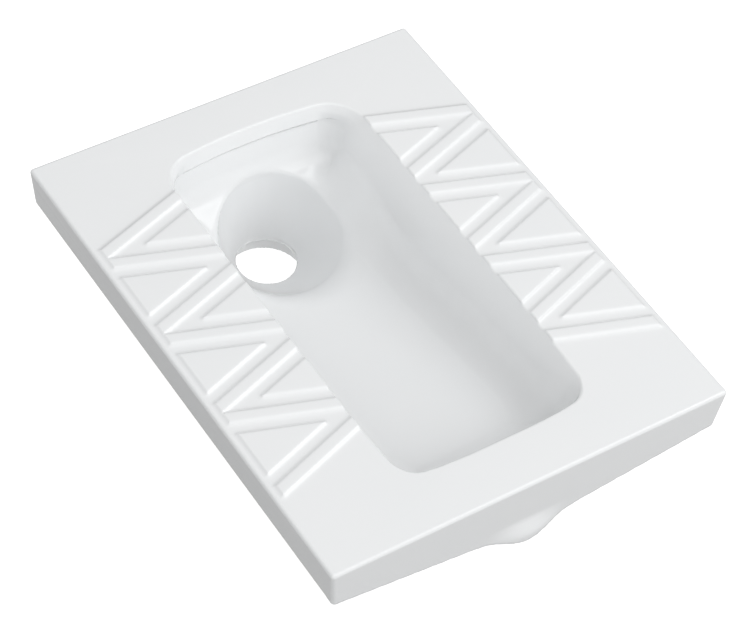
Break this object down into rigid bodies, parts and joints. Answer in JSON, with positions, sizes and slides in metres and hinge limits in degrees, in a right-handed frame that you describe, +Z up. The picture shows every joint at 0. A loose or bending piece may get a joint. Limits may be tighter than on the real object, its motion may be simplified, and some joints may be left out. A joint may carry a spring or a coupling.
{
  "type": "squat toilet",
  "caption": "Rectangular floor-set squat toilet pan in white glazed china, with a skirted deck, zigzag treads, sloping basin, round rear sump and rubber pipe seals.",
  "frame": {"origin": "on the axis of the outlet, at the lower end of its spigot", "axes": "+Z up out of the deck, +Y towards the end with the outlet and the flush inlet, +X towards the right of someone who faces the outlet end; the front apron faces -Y"},
  "size_m": [0.472, 0.604, 0.193],
  "materials": {
    "china": "gloss white glaze",
    "seal_rubber": "matt black"
  },
  "bodies": {
    "root": {"pan": "china", "outlet_seal": "seal_rubber", "inlet_seal": "seal_rubber"}
  },
  "joints": []
}
